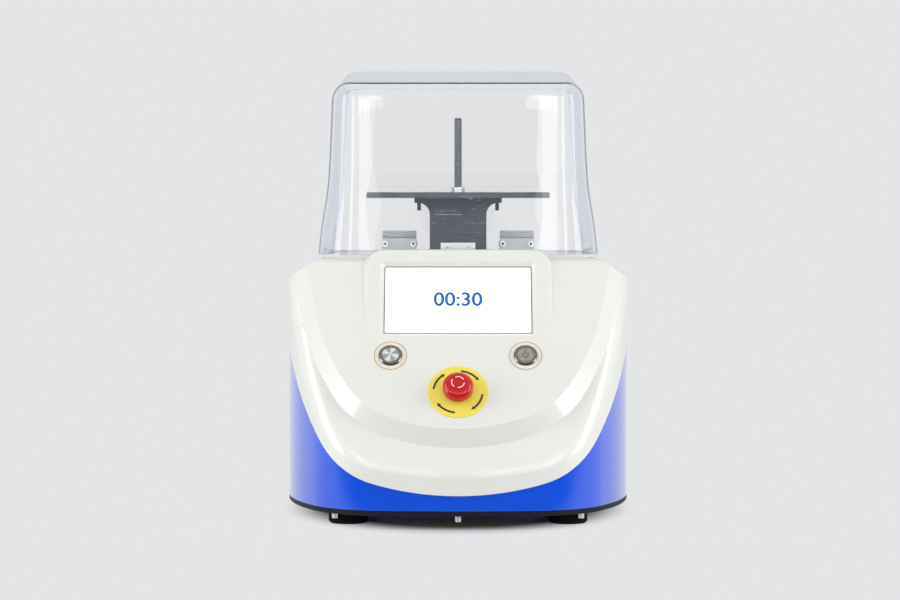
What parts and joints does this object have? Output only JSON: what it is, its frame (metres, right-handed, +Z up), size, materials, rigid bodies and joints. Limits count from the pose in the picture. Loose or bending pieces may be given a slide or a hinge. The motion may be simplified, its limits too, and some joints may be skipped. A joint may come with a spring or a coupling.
{
  "type": "bead beating homogenizer",
  "caption": "Bench homogenizer with a clear hinged lid over a shaking sample platform, a sloped control panel with touch screen, push buttons and emergency stop, and a crank drive inside.",
  "frame": {"origin": "on the bench under the middle of the housing's bounding box", "axes": "+X to the user's right, +Y towards the rear, +Z up; the controls face -Y"},
  "size_m": [0.368, 0.47, 0.4872],
  "materials": {
    "white_moulding": "satin gloss",
    "blue_moulding": "high gloss",
    "dark_plate": "semi-gloss",
    "black_rubber": "matte",
    "bright_screw": "bright",
    "screen_glass": "gloss, lit",
    "cream_ring": "printed",
    "bezel_metal": "polished",
    "cap_metal": "turned",
    "yellow_plate": "satin",
    "black_plastic": "matte",
    "red_head": "gloss",
    "clear_dome": "clear",
    "steel": "brushed",
    "tray_steel": "brushed",
    "grey_rubber": "matte",
    "anodised_dark": "dark anodised",
    "aluminium": "machined",
    "bronze": "sintered bronze",
    "motor_grey": "painted",
    "belt_rubber": "toothless",
    "zinc_plate": "powder coated",
    "supply_case": "perforated sheet",
    "board_green": "solder mask"
  },
  "bodies": {
    "housing": {"base_plate": "dark_plate", "feet": "black_rubber", "base_screws": "bright_screw", "lower_shell": "blue_moulding", "upper_shell": "white_moulding", "touch_screen": "screen_glass", "screen_gasket": "black_rubber", "button_rings": "cream_ring", "button_bezels": "bezel_metal", "button_nuts": "bezel_metal", "estop_plate": "yellow_plate", "estop_collar": "black_plastic", "estop_contacts": "black_plastic", "lid_seal": "grey_rubber", "chamber_tray": "tray_steel", "column_wiper": "black_rubber", "hinge_blocks": "steel", "hinge_pins": "steel", "latch_body": "zinc_plate", "drive_belt": "belt_rubber", "main_bearings": "steel", "front_bearing_plate": "aluminium", "rear_bearing_plate": "aluminium", "guide_top_plate": "aluminium", "guide_shelf": "aluminium", "guide_shafts": "steel", "drive_base": "zinc_plate", "isolators": "black_rubber", "motor": "motor_grey", "power_supply": "supply_case", "control_board": "board_green", "rear_panel": "dark_plate", "power_inlet": "black_plastic", "fan_frame": "black_plastic"},
    "lid": {"lid_dome": "clear_dome", "lid_hinge_leaves": "steel", "lid_clamp_plates": "steel", "lid_screws": "bright_screw", "lid_striker": "aluminium"},
    "latch": {"latch_bolt": "steel"},
    "unlock": {"unlock_cap": "cap_metal"},
    "power": {"power_cap": "cap_metal"},
    "stop_stem": {"estop_stem": "black_plastic"},
    "stop_head": {"estop_head": "red_head"},
    "shaker": {"platform": "anodised_dark", "platform_bracket": "anodised_dark", "bracket_screws": "bright_screw", "clamp_stud": "anodised_dark", "stud_nut": "bright_screw", "crosshead": "aluminium", "guide_bushes": "bronze", "wrist_pin": "steel"},
    "rod": {"connecting_rod": "aluminium", "crank_pin": "steel"},
    "crank": {"crank_disc": "steel", "crankshaft": "steel", "driven_pulley": "aluminium"},
    "motor_rotor": {"motor_shaft": "steel", "motor_pulley": "aluminium"},
    "fan": {"fan_rotor": "black_plastic"}
  },
  "joints": [
    {"name": "lid_hinge", "type": "hinge", "parent": "housing", "child": "lid", "pos_m": [0, 0.207, 0.287], "axis": [-1, 0, 0], "range_deg": [0, 75]},
    {"name": "latch_slide", "type": "slide", "parent": "housing", "child": "latch", "axis": [0, -1, 0], "range_m": [0, 0.008], "stiffness_N_per_m": 150},
    {"name": "unlock_press", "type": "slide", "parent": "housing", "child": "unlock", "axis": [0, 0.809, -0.5878], "range_m": [0, 0.002], "stiffness_N_per_m": 300},
    {"name": "power_press", "type": "slide", "parent": "housing", "child": "power", "axis": [0, 0.809, -0.5878], "range_m": [0, 0.002], "stiffness_N_per_m": 300},
    {"name": "estop_press", "type": "slide", "parent": "housing", "child": "stop_stem", "axis": [0, 0.809, -0.5878], "range_m": [0, 0.005], "stiffness_N_per_m": 400},
    {"name": "estop_twist", "type": "hinge", "parent": "stop_stem", "child": "stop_head", "pos_m": [0, -0.19506, 0.139], "axis": [0, -0.809, 0.5878], "range_deg": [0, 45], "stiffness_Nm_per_rad": 0.05},
    {"name": "platform_lift", "type": "slide", "parent": "housing", "child": "shaker", "axis": [0, 0, 1], "range_m": [0, 0.032]},
    {"name": "rod_swing", "type": "hinge", "parent": "shaker", "child": "rod", "pos_m": [0, 0.065, 0.171], "axis": [0, 1, 0], "range_deg": [-9.7, 9.7]},
    {"name": "crank_spin", "type": "hinge", "parent": "housing", "child": "crank", "pos_m": [0, 0.065, 0.092], "axis": [0, 1, 0], "continuous": true},
    {"name": "motor_spin", "type": "hinge", "parent": "housing", "child": "motor_rotor", "pos_m": [-0.11, 0.065, 0.092], "axis": [0, 1, 0], "continuous": true},
    {"name": "fan_spin", "type": "hinge", "parent": "housing", "child": "fan", "pos_m": [0.075, 0.2, 0.093], "axis": [0, 1, 0], "continuous": true}
  ],
  "couplings": [
    {"joint": "motor_spin", "follows": "crank_spin", "ratio": 1.5}
  ]
}
